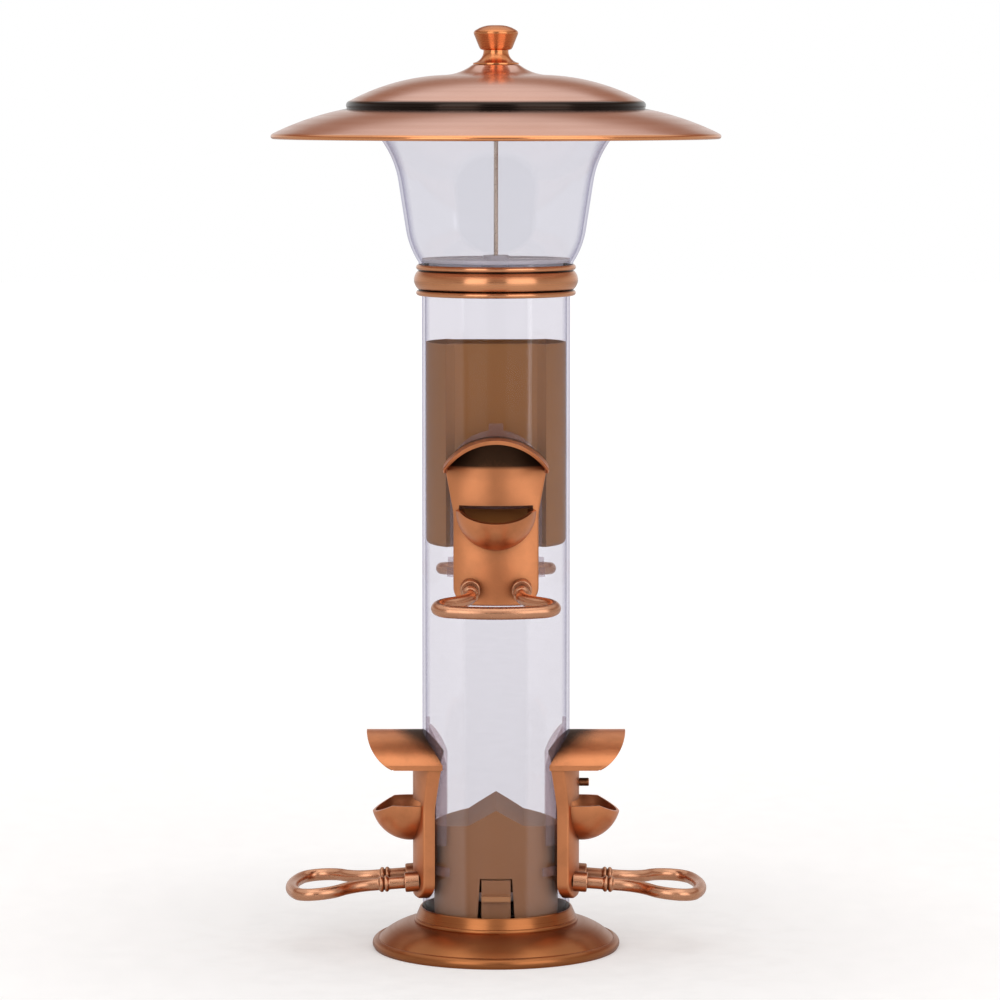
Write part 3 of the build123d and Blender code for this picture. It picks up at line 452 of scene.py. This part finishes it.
def make_floor():
    """Pale paper; what the camera sees of it has a glow added, which lifts it to white."""
    n = Nodes("studio_paper")
    place = n.place()
    fibre = n.noise(place, 60.0, 4.0)
    distance = n.add("VectorMath", {0: place}, operation="LENGTH").outputs["Value"]
    shade = n.spread(fibre, 0.3, 0.7)
    n.set(Base_Color=n.blend(shade, (0.64, 0.637, 0.635), (0.68, 0.677, 0.675)))
    n.set(Roughness=0.8, Emission_Color=(1, 1, 1, 1), Specular_IOR_Level=0.0)
    near = n.spread(distance, 0.07, 0.32, 0.30, 0.42)
    far = n.spread(distance, 0.4, 2.5, 0.0, 0.25)
    seen = n.add("LightPath").outputs["Is Camera Ray"]
    n.set(Emission_Strength=n.math("MULTIPLY", n.math("ADD", near, far), seen))
    mesh = bpy.data.meshes.new("studio_floor")
    corners = [(x * FLOOR_HALF, y * FLOOR_HALF, 0) for x, y in ((-1, -1), (1, -1), (1, 1), (-1, 1))]
    mesh.from_pydata(corners, [], [(0, 1, 2, 3)])
    floor = bpy.data.objects.new("studio_floor", mesh)
    floor.data.materials.append(n.material)
    bpy.context.scene.collection.objects.link(floor)


def make_light(name, azimuth, elevation, distance, size, power):
    """A white rectangular softbox; azimuth 0 is the front, and it grows to the right."""
    data = bpy.data.lights.new(name, "AREA")
    data.shape = "RECTANGLE"
    data.size, data.size_y = size
    data.energy = power
    light = bpy.data.objects.new(name, data)
    a, e = math.radians(azimuth), math.radians(elevation)
    away = Vector((math.sin(a) * math.cos(e), -math.cos(a) * math.cos(e), math.sin(e)))
    light.location = Vector(LIGHT_AIM) + away * distance
    light.rotation_euler = (-away).to_track_quat("-Z", "Y").to_euler()
    bpy.context.scene.collection.objects.link(light)


def grey_ramp(tree, value, low, high, stops):
    """A grey or colour that follows a value through (share, grey) stops, from low to high."""
    share = tree.nodes.new("ShaderNodeMapRange")
    share.inputs["From Min"].default_value, share.inputs["From Max"].default_value = low, high
    ramp = tree.nodes.new("ShaderNodeValToRGB")
    ramp.color_ramp.interpolation = "EASE"
    for position, _ in stops[1:-1]:
        ramp.color_ramp.elements.new(position)
    for element, (position, grey) in zip(ramp.color_ramp.elements, stops):
        element.position = position
        element.color = (*grey, 1) if isinstance(grey, tuple) else (grey, grey, grey, 1)
    tree.links.new(value, share.inputs["Value"])
    tree.links.new(share.outputs["Result"], ramp.inputs["Fac"])
    return ramp.outputs["Color"]


def make_world():
    """White behind the feeder. Metal mirrors a room that is dark at the front and banded above."""
    world = bpy.data.worlds.new("studio_air")
    bpy.context.scene.world = world
    world.use_nodes = True
    tree = world.node_tree
    coordinates = tree.nodes.new("ShaderNodeTexCoord")
    axes = tree.nodes.new("ShaderNodeSeparateXYZ")
    tree.links.new(coordinates.outputs["Generated"], axes.inputs[0])
    around = grey_ramp(tree, axes.outputs["Y"], 1.0, -1.0, ROOM_AROUND)
    above = grey_ramp(tree, axes.outputs["Z"], 0.0, 1.0, ROOM_ABOVE)
    rising = grey_ramp(tree, axes.outputs["Z"], 0.0, 1.0, ROOM_RISING)
    both = tree.nodes.new("ShaderNodeMix")
    both.data_type = "RGBA"
    tree.links.new(rising, both.inputs[0])
    tree.links.new(around, both.inputs[6])
    tree.links.new(above, both.inputs[7])
    room = tree.nodes["Background"]
    tree.links.new(both.outputs[2], room.inputs["Color"])
    seen = tree.nodes.new("ShaderNodeBackground")
    seen.inputs["Color"].default_value = (1, 1, 1, 1)
    path = tree.nodes.new("ShaderNodeLightPath")
    mix = tree.nodes.new("ShaderNodeMixShader")
    tree.links.new(path.outputs["Is Camera Ray"], mix.inputs[0])
    tree.links.new(room.outputs[0], mix.inputs[1])
    tree.links.new(seen.outputs[0], mix.inputs[2])
    tree.links.new(mix.outputs[0], tree.nodes["World Output"].inputs["Surface"])


# ---- cable --------------------------------------------------------------------------------
CABLE_D = 2.3 * MM
STRANDS = 6
STRAND_LAY = 0.0085       # one turn of a strand, along the cable
STRAND_OVERLAP = 1.02     # a strand is this much thicker than its share, so that it meets the next
CABLE_STEPS = 420


def make_cable(material):
    """Six strands twisted round a core, between the spider's boss and the stud's barrel.

    A strand's centre is point + r (n cos(w s + k) + b sin(w s + k)), s along the cable.
    """
    low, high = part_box("hanger_cable")
    curve = bpy.data.curves.new("cable_route", "CURVE")
    curve.dimensions, curve.resolution_u = "3D", 64
    spline = curve.splines.new("NURBS")
    heights = (low[2], (low[2] + high[2]) / 2, high[2])
    spline.points.add(len(heights) - 1)
    for point, z in zip(spline.points, heights):
        point.co = (0.0, 0.0, z, 1.0)
    spline.order_u = 3
    spline.use_endpoint_u = True
    route = bpy.data.objects.new("cable_route", curve)
    line = bpy.data.meshes.new_from_object(route)
    centre = np.array([vertex.co[:] for vertex in line.vertices])
    bpy.data.meshes.remove(line)
    bpy.data.objects.remove(route)
    bpy.data.curves.remove(curve)
    centre, at = evenly(centre, CABLE_STEPS)
    strand_r = CABLE_D / 6
    grids = [carried(centre, strand_r, np.array([1.0, 0, 0]))[:, ::3]]
    for k in range(STRANDS):
        a = 2 * math.pi * (at / STRAND_LAY + k / STRANDS)
        wound = centre + 2 * strand_r * np.stack([np.cos(a), np.sin(a), 0 * a], axis=1)
        grids.append(carried(wound, strand_r * STRAND_OVERLAP, np.array([0.0, 0, 1]))[:, ::3])
    rows, columns = grids[0].shape[:2]
    cells = grid_faces(rows, columns, close_v=True)
    points = np.concatenate([grid.reshape(-1, 3) for grid in grids])
    faces = np.concatenate([cells + k * rows * columns for k in range(len(grids))])
    cable = make_piece(
        "twisted_cable", points, faces, material, "tube", ["hanger_cable"], 60)
    return cable


# ---- lid, knob and ring -------------------------------------------------------------------
# All in millimetres.
LID_STEP_R = 75.5
LID_CROWN_R = 25.5
LID_LAND_R = 12.1         # the flat land that the knob stands on
LID_HOLE_R = 3.1
LID_THICK = 1.0
LID_RIM_TOP = 3.0         # above the lid's foot, as the step's two levels are
LID_STEP_FOOT = 15.4
LID_STEP_TOP = 19.4
LID_CROWN_DROP = 5.1      # from the very top down to the crown's foot
KNOB_HEAD_R = 11.3
KNOB_NECK_R = 6.4
KNOB_BORE_R = 2.55
KNOB_ROOF = 6.0           # from the bore's end to the top
KNOB_DIMPLE = 0.9         # the dimple's depth, and its radius at the brim
RING_TUBE_R = 38.05       # the bore round the tube
RING_NECK_R = 39.65       # the bore round the hopper's neck
RING_LEDGE = 5.9          # above the ring's foot, where the one bore meets the other
RING_BEAD_H = 2.7


def lid_heights():
    """The lid's levels in millimetres: rim foot, rim top, step foot, step top, crown, very top."""
    low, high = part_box("lid_shell")
    foot, top = low[2] / MM, high[2] / MM
    rim, step, shoulder = foot + LID_RIM_TOP, foot + LID_STEP_FOOT, foot + LID_STEP_TOP
    return foot, rim, step, shoulder, top - LID_CROWN_DROP, top


def make_lid(material):
    """The spun lid, turned from its section: rolled rim, lower roof, step, upper roof and crown."""
    foot, rim, step, shoulder, crown, top = lid_heights()
    rim_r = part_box("lid_shell")[1][0] / MM
    step_r, crown_r, land_r = LID_STEP_R, LID_CROWN_R, LID_LAND_R

    def skin(inset):
        """The roof from its rim to its hole, moved inwards by an inset."""
        lower = ((rim_r + step_r) / 2, (rim + step) / 2 + 1.2 - inset)
        upper = ((step_r + crown_r) / 2 + 4, (shoulder + crown) / 2 + 1.8 - inset)
        neck = ((crown_r + land_r) / 2 - 1.6, (crown + top) / 2 - 0.5 - inset)
        return [
            (lower, (step_r + 0.4 - inset * 0.4, step - inset)),
            ((step_r + 1.0 - inset, step + 2.0 - inset), (step_r - 0.9 - inset, shoulder - inset)),
            (upper, (crown_r, crown - inset)),
            (neck, (land_r, top - inset)),
        ]

    inner = skin(LID_THICK)
    back = [inner[3][1], (inner[3][0], inner[2][1]), (inner[2][0], inner[1][1]),
            (inner[1][0], inner[0][1]), (inner[0][0], (rim_r - 1.4, rim - LID_THICK - 0.1))]
    section = outline(
        (rim_r - 1.0, foot), ((rim_r, foot + 1.1), (rim_r - 0.8, rim - 0.5)), (rim_r - 1.6, rim),
        *skin(0), (LID_HOLE_R, top), (LID_HOLE_R, top - LID_THICK), *back,
        ((rim_r - 1.9, foot + 1.3), (rim_r - 1.6, foot + 0.1)),
    )
    section = softened(section, 0.75, 0.18)
    return lathe("spun_lid", section, 200, material, "lid", ["lid_shell"], 50)


def make_knob(material):
    """The turned knob: cupped head, waisted neck and spread foot, with a dimple on top."""
    low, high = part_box("lid_knob")
    z0, z1, foot_r = low[2] / MM, high[2] / MM, high[0] / MM
    head_r, neck_r, bore, dimple = KNOB_HEAD_R, KNOB_NECK_R, KNOB_BORE_R, KNOB_DIMPLE
    h = z1 - z0
    section = outline(
        (bore, z0), (foot_r, z0), (foot_r, z0 + 0.9),
        ((neck_r + 1.0, z0 + 3.6), (neck_r, z0 + 6.4)), (neck_r, z0 + 7.3),
        ((neck_r + 0.7, z0 + 7.5), (neck_r + 1.6, z0 + 7.9)), (head_r - 2.7, z0 + 8.9),
        (head_r - 0.2, z0 + h * 0.76), ((head_r, z0 + h * 0.82), (head_r - 1.0, z0 + h * 0.88)),
        ((head_r * 0.55, z0 + h * 0.975), (dimple, z1)), (0.7, z1 - dimple), (0.0, z1 - dimple),
        (0.0, z1 - KNOB_ROOF), (bore, z1 - KNOB_ROOF),
    )
    section = evenly(section, 260, closed=True)[0]
    return lathe("turned_knob", section, 64, material, "knob", ["lid_knob"], 35)


def make_ring(material):
    """The ring: a full round band between two narrow beads, with a thin groove beside each."""
    low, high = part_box("collar_ring")
    z0, z1, band_r = low[2] / MM, high[2] / MM, high[0] / MM
    tube_r, neck_r, ledge = RING_TUBE_R, RING_NECK_R, z0 + RING_LEDGE
    bead_r, groove_r, bead_h = band_r - 1.1, band_r - 2.6, RING_BEAD_H
    mid = (z0 + z1) / 2
    section = outline(
        (tube_r, z0), (bead_r - 1.0, z0), ((bead_r, z0 + bead_h / 2), (bead_r - 0.9, z0 + bead_h)),
        (groove_r, z0 + bead_h + 0.1), ((band_r, mid), (groove_r, z1 - bead_h - 0.1)),
        (bead_r - 0.9, z1 - bead_h), ((bead_r, z1 - bead_h / 2), (bead_r - 1.0, z1)),
        (neck_r, z1), (neck_r, ledge), (tube_r, ledge),
    )
    section = softened(section, 0.3, 0.1)
    return lathe("beaded_ring", section, 240, material, "tube", ["collar_ring"], 45)


# ---- perches and port rims ----------------------------------------------------------------
# All in millimetres, along the arms from the ports' face plates.
PERCH_D = 6.35
PERCH_TAIL = 3.6          # inside the plate
PERCH_HALF_GAP = 13.0
PERCH_STRAIGHT = 20.3
PERCH_WIDEST = 50.2
PERCH_HALF_W = 29.0
PERCH_REACH = 63.0
PERCH_TIP_R = 70.0
PERCH_SLOPE = 4.4         # degrees
PERCH_LEVEL = 36.1
BEADS_AT = (13.5, 16.1)
BEAD_SIZE = 1.05          # a bead's height, and half its width
BEAD_GROOVE_AT = 14.8
BEAD_GROOVE_DEPTH = 0.35
BEAD_GROOVE_W = 0.25
FACE_R = 43.0             # the ports' face plates, from the axis


def port_lift(name):
    """How much higher this port sits than the lower pair, in millimetres."""
    return (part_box(f"port_body_{name}")[0][2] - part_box("port_body_right")[0][2]) / MM


def sweep_points(centre, radius, start, turn, count):
    """Points on an arc, from a start angle and through a turn, both in radians."""
    a = start + np.linspace(0, 1, count) * turn
    return np.stack([centre[0] + radius * np.cos(a), centre[1] + radius * np.sin(a)], axis=1)


def perch_line():
    """The loop's centreline in plan: straight arms, a bend out and one back, a corner, the tip."""
    run, rise = PERCH_WIDEST - PERCH_STRAIGHT, PERCH_HALF_W - PERCH_HALF_GAP
    turn = 2 * math.atan(rise / run)
    both_r = run / math.sin(turn)
    out_r = both_r * 0.55
    in_r = both_r - out_r
    ahead = PERCH_WIDEST - (PERCH_REACH - PERCH_TIP_R)
    corner_r = (PERCH_TIP_R**2 - ahead**2 - PERCH_HALF_W**2) / (2 * (PERCH_TIP_R - PERCH_HALF_W))
    tip_half = math.acos(ahead / (PERCH_TIP_R - corner_r))
    quarter = math.pi / 2
    arm_x = np.linspace(-PERCH_TAIL, PERCH_STRAIGHT, 60)
    arm = np.stack([arm_x, np.full(60, PERCH_HALF_GAP)], axis=1)
    out = sweep_points((PERCH_STRAIGHT, PERCH_HALF_GAP + out_r), out_r, -quarter, turn, 40)
    back = sweep_points((PERCH_WIDEST, PERCH_HALF_W - in_r), in_r, quarter + turn, -turn, 30)
    corner_at, tip_at = (PERCH_WIDEST, PERCH_HALF_W - corner_r), (PERCH_REACH - PERCH_TIP_R, 0)
    corner = sweep_points(corner_at, corner_r, quarter, tip_half - quarter, 30)
    tip = sweep_points(tip_at, PERCH_TIP_R, tip_half, -tip_half, 26)
    half = np.concatenate([arm, out[1:], back[1:], corner[1:], tip[1:]])
    other = half[::-1][1:] * [1, -1]
    return np.concatenate([half, other])


def make_perch(name, material):
    """The bent rod: a round section along the loop's line, swollen into two beads on each arm.

    Its radius is rod + size exp(-((x - bead) / size)^4) for each bead, less a bell-shaped groove
    between the two: depth exp(-((x - groove) / width)^2).
    """
    flat, at = evenly(perch_line(), 520)
    from_end = np.minimum(at, at[-1] - at) - PERCH_TAIL
    radius = np.full(len(at), PERCH_D / 2)
    for bead in BEADS_AT:
        radius += BEAD_SIZE * np.exp(-(((from_end - bead) / BEAD_SIZE) ** 4))
    radius -= BEAD_GROOVE_DEPTH * np.exp(-(((from_end - BEAD_GROOVE_AT) / BEAD_GROOVE_W) ** 2))
    slope = math.radians(PERCH_SLOPE)
    x, u = flat[:, 0], flat[:, 1]
    path = np.stack([x * math.cos(slope) + FACE_R, u, PERCH_LEVEL - x * math.sin(slope)], axis=1)
    path[:, 2] += port_lift(name)
    grid = closed_ends(path, carried(path, radius, np.array([0.0, 0, 1])))
    grid = turned_about_z(grid, PORT_TURNS[name]) * MM
    return surface(f"loop_perch_{name}", grid, material, "tube",
                   [f"perch_loop_{name}"], close_v=True)


# All in millimetres, with the levels those of the lower pair of ports.
HOOD_HALF_W = 26.5
HOOD_TOP = 113.3
HOOD_EDGE = 98.4          # where the arch ends and the lips begin
HOOD_FOOT = 95.8
HOOD_SWEEP = 14.7         # from the front edge's top back to its lips
HOOD_ARC_POINT = (0.31, 0.57)   # the arc passes here, as shares of the sweep and of the drop
HOOD_ROUND = 0.75         # radius of the rounding on the hood's front edge


def hood_front(height, edge_x):
    """How far out the hood's front edge is at each height: one arc from its top to its lips."""
    back, down = HOOD_ARC_POINT
    through = (edge_x - HOOD_SWEEP * back, HOOD_TOP - (HOOD_TOP - HOOD_FOOT) * down)
    line = arc((edge_x - HOOD_SWEEP, HOOD_FOOT), through, (edge_x, HOOD_TOP), 60)
    return np.interp(height, line[:, 1], line[:, 0])


def make_hood_rim(name, material):
    """The rounding on a hood's front edge: a thin round bead along its arch and down its lips.

    The arch is the circle over the hood's width and rise; the bead's centre lies inside the sheet.
    """
    edge_x = max(abs(v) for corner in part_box(f"port_body_{name}") for v in corner[:2]) / MM
    rise = HOOD_TOP - HOOD_EDGE
    arch_r = (HOOD_HALF_W**2 + rise**2) / (2 * rise)
    centre_z = HOOD_TOP - arch_r
    reach = math.asin(HOOD_HALF_W / arch_r)
    a = np.linspace(-reach, reach, 160)
    inner = arch_r - HOOD_ROUND
    arch = np.stack([inner * np.sin(a), centre_z + inner * np.cos(a)], axis=1)
    drop = np.linspace(HOOD_FOOT + HOOD_ROUND, arch[0, 1], 14, endpoint=False)
    side = np.full(len(drop), arch[0, 0])
    left = np.stack([side, drop], axis=1)
    right = np.stack([-side[::-1], drop[::-1]], axis=1)
    u, z = np.concatenate([left, arch, right]).T
    path = np.stack([hood_front(z, edge_x) - HOOD_ROUND, u, z + port_lift(name)], axis=1)
    grid = closed_ends(path, carried(path, HOOD_ROUND, np.array([1.0, 0, 0])))
    grid = turned_about_z(grid, PORT_TURNS[name]) * MM
    return surface(f"hood_rim_{name}", grid, material, "tube", close_v=True)


WEB_HALF_W = 15.0
WEB_LOW, WEB_HIGH = 28.0, 46.0
WEB_THICK = 1.2
WEB_BOW = 1.5


def make_inner_web(material):
    """The thin upright web inside the deflector, over the pole socket: a slightly bowed plate.

    Its mid surface is y = bow (1 - (x / half)^2), and its closed section runs round both faces.
    """
    x = np.linspace(-WEB_HALF_W, WEB_HALF_W, 40)
    front = np.stack([x, WEB_BOW * (1 - (x / WEB_HALF_W) ** 2) - WEB_THICK / 2], axis=1)
    back = front[::-1] + [0, WEB_THICK]
    ring = np.concatenate([front, back])
    z = np.linspace(WEB_LOW, WEB_HIGH, 12)
    grid = np.stack([ring[None, :, 0] + 0 * z[:, None], ring[None, :, 1] + 0 * z[:, None],
                     z[:, None] + 0 * ring[None, :, 0]], axis=-1)
    middle = ring * [1, 0] + [0, WEB_BOW / 2]
    foot, top = (np.concatenate([middle, np.full((len(ring), 1), level)], axis=1)[None]
                 for level in (WEB_LOW, WEB_HIGH))
    grid = np.concatenate([foot, grid, top]) * MM
    return surface("inner_web", grid, material, "foot", close_v=True)


# ---- making it all ------------------------------------------------------------------------
def paint(node, material):
    """Give a CAD node's object one material."""
    thing = frame["nodes"][node]
    if not thing.material_slots:
        thing.data.materials.append(material)
    for slot in thing.material_slots:
        slot.link = "OBJECT"
        slot.material = material


bpy.context.scene.view_settings.view_transform = "Standard"
make_camera()
metals_and_plastics = {
    "cable_brass": wire_metal("cable_brass", (1.0, 0.92, 0.80), (0.72, 0.58, 0.44)),
    "screw_steel": wire_metal("screw_steel", (0.60, 0.60, 0.62), (0.30, 0.30, 0.32)),
}
make_cable(metals_and_plastics["cable_brass"])
make_world()
make_floor()
make_light("softbox_left", -29, 4, 2.6, (1.45, 3.4), 25)
make_light("softbox_right", 37, 4, 2.6, (2.0, 3.4), 31)
make_light("softbox_top", 0, 82, 2.2, (2.4, 2.4), 12)

foot_z, rim_z, step_z, shoulder_z = lid_heights()[:4]
ring_low, ring_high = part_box("collar_ring")
metals_and_plastics.update({
    "lid_copper": spun_copper("lid_copper", (0.87, 0.51, 0.40), (0.66, 0.32, 0.21), 0.20, 0.4, [
        # The lid's step: a band of painted shade.
        ((step_z - 0.6) * MM, (shoulder_z - 0.2) * MM, 0.0005, NEAR_BLACK),
        ((foot_z - 1.0) * MM, (rim_z - 0.2) * MM, 0.0003, (0.80, 0.34, 0.15))], 0.2),
    "ring_copper": spun_copper("ring_copper", (0.80, 0.37, 0.19), (0.50, 0.19, 0.07), 0.25, 0.85, [
        # Near-black bands over the grooves beside the ring's beads.
        (ring_low[2] + 0.0024, ring_low[2] + 0.0033, 0.0003, NEAR_BLACK),
        (ring_high[2] - 0.0033, ring_high[2] - 0.0024, 0.0003, NEAR_BLACK)]),
    "knob_copper": spun_copper("knob_copper", (0.76, 0.29, 0.115), (0.45, 0.15, 0.06), 0.25, 0.6),
    "foot_copper": spun_copper("foot_copper", (0.42, 0.155, 0.055), (0.32, 0.11, 0.04), 0.30, 0.5),
    # Port and perch copper: black patination in small hollows, painted shade in large ones and
    # inside the hoods.
    "port_copper": brushed_copper("port_copper", PORT_COPPER, PORT_DARK, 0.36, 0.65,
                                  HOOD_SHADE_Z * MM),
    "perch_copper": brushed_copper("perch_copper", (0.70, 0.35, 0.205), (0.20, 0.10, 0.06),
                                   0.30, 0.8),
    # Its tint, then the tint of its painted dark edge.
    "clear_plastic": clear_plastic("clear_plastic", (0.933, 0.931, 0.952), (0.70, 0.69, 0.79)),
    "baffle_plastic": moulded_plastic("baffle_plastic", (0.42, 0.175, 0.045), (0.36, 0.145, 0.036)),
    "deflector_plastic": moulded_plastic("deflector_plastic", (0.44, 0.20, 0.085),
                                         (0.38, 0.17, 0.07)),
    "dark_plastic": moulded_plastic("dark_plastic", (0.58, 0.44, 0.43), (0.50, 0.37, 0.36)),
})
for part in frame["record"]["subparts"]:
    paint(part["node"], metals_and_plastics[part["material_slot"]])
# The upper ports get their own copy only so that the painted shade inside their hoods starts at
# their height.
upper_copper = brushed_copper("upper_port_copper", PORT_COPPER, PORT_DARK, 0.36, 0.65,
                              (HOOD_SHADE_Z + port_lift("front")) * MM)
paint("port_body_front", upper_copper)
paint("port_body_back", upper_copper)
smoky = smoky_plastic("smoky_plastic", (0.52, 0.38, 0.37), (0.46, 0.32, 0.32), 0.80)
for port in PORT_TURNS:
    paint(f"port_retainer_{port}", smoky)
# The clear spider is drawn as opaque pale plastic; its pale colour is painted sheen.
painted_sheen_spider = moulded_plastic("painted_sheen_spider_plastic", (0.78, 0.78, 0.84), (0.70, 0.70, 0.77), 0.25)
paint("cable_spider", painted_sheen_spider)

make_lid(metals_and_plastics["lid_copper"])
make_knob(metals_and_plastics["knob_copper"])
make_ring(metals_and_plastics["ring_copper"])
make_inner_web(metals_and_plastics["deflector_plastic"])
for port in PORT_TURNS:
    make_perch(port, metals_and_plastics["perch_copper"])
    make_hood_rim(port, metals_and_plastics["port_copper"])
